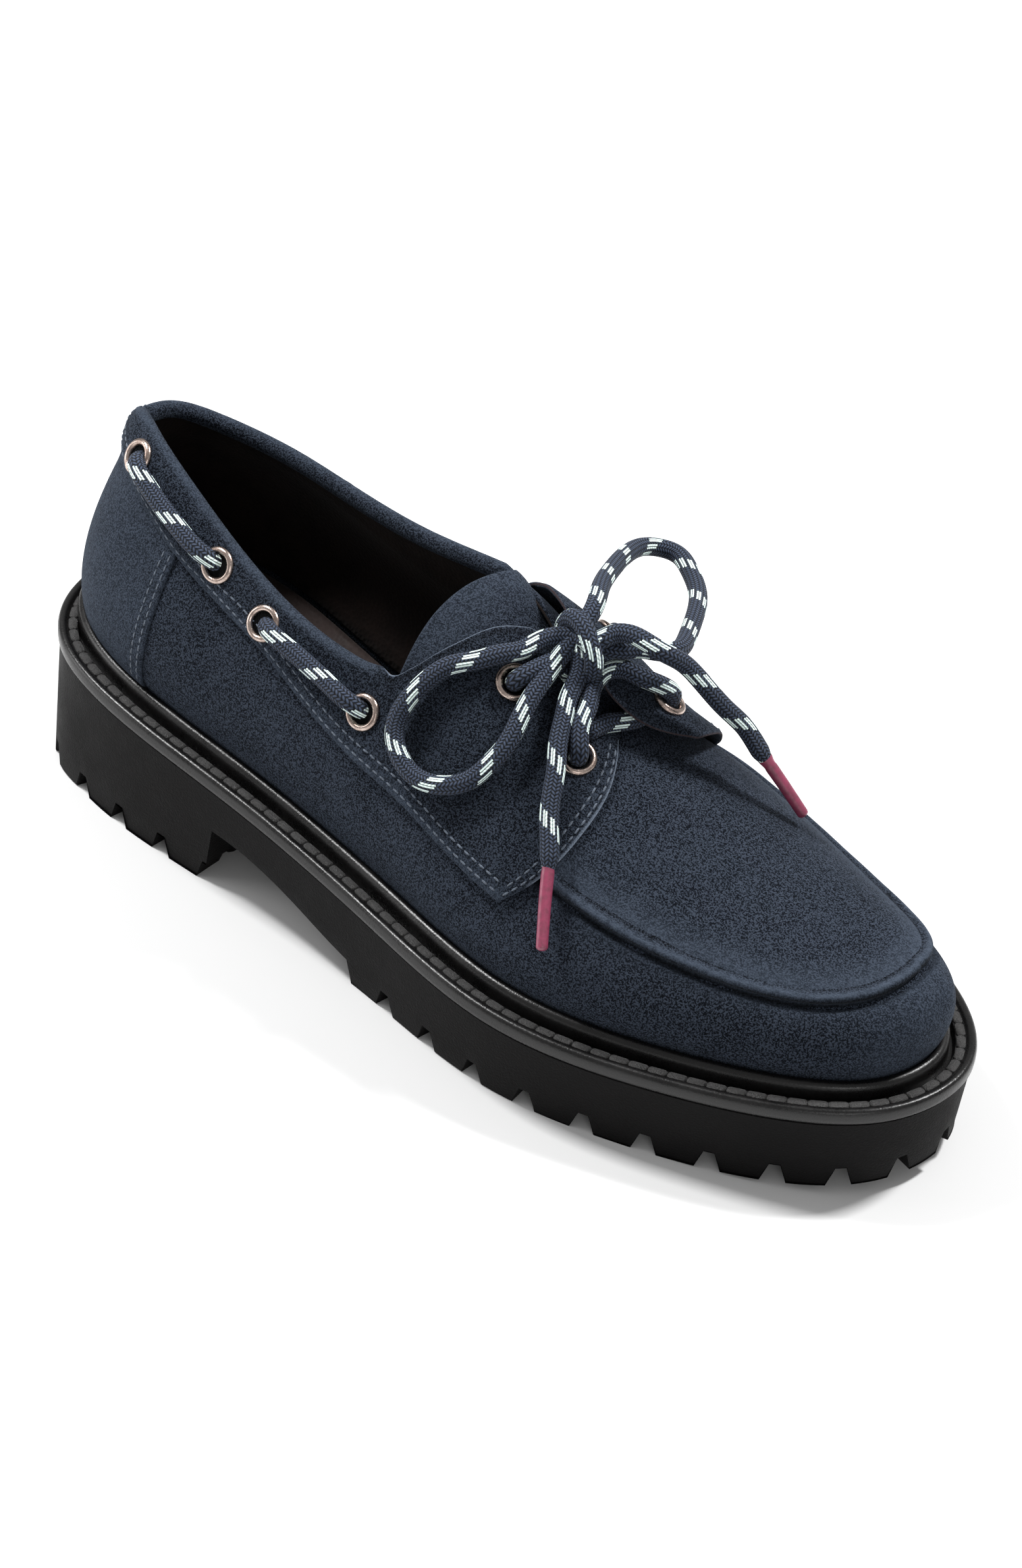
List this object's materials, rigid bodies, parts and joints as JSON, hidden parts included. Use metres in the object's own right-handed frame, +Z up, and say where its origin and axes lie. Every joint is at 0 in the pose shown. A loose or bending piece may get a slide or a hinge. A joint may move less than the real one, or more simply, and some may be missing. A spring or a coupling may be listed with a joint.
{
  "type": "loafer",
  "caption": "Low lace-up moccasin loafer, right shoe: suede upper with a laced collar, tied bow and a thick lugged rubber sole with a block heel.",
  "frame": {"origin": "on the floor, half way along the shoe and half way across it, without the free bow of the lace", "axes": "+X towards the toe, +Y towards the inner side of the foot, +Z up"},
  "size_m": [0.263, 0.107, 0.0987],
  "materials": {
    "sole_rubber": "matte black moulded rubber",
    "welt_rubber": "satin black rubber with a stitched channel",
    "suede": "navy suede, napped",
    "suede_band": "navy suede, napped",
    "lining_leather": "dark brown smooth lining leather",
    "eyelet_metal": "polished, rose tinted",
    "aglet_plastic": "wine red, semi-gloss",
    "lace_rope": "round braid, navy with light tracer threads"
  },
  "bodies": {
    "root": {"aglet_inner": "aglet_plastic", "aglet_outer": "aglet_plastic", "collar_band_inner": "suede_band", "collar_band_outer": "suede_band", "eyelet_inner_1": "eyelet_metal", "eyelet_inner_2": "eyelet_metal", "eyelet_inner_3": "eyelet_metal", "eyelet_inner_4": "eyelet_metal", "eyelet_inner_5": "eyelet_metal", "eyelet_inner_6": "eyelet_metal", "eyelet_outer_1": "eyelet_metal", "eyelet_outer_2": "eyelet_metal", "eyelet_outer_3": "eyelet_metal", "eyelet_outer_4": "eyelet_metal", "eyelet_outer_5": "eyelet_metal", "eyelet_outer_6": "eyelet_metal", "insole": "lining_leather", "lace_bar": "lace_rope", "lace_crossing": "lace_rope", "lace_end_inner": "lace_rope", "lace_end_outer": "lace_rope", "lace_inner_back": "lace_rope", "lace_inner_front": "lace_rope", "lace_knot": "lace_rope", "lace_loop_inner": "lace_rope", "lace_loop_outer": "lace_rope", "lace_outer_back": "lace_rope", "lace_outer_front": "lace_rope", "outsole": "sole_rubber", "tongue": "suede", "upper": "suede", "welt": "welt_rubber"}
  },
  "joints": []
}
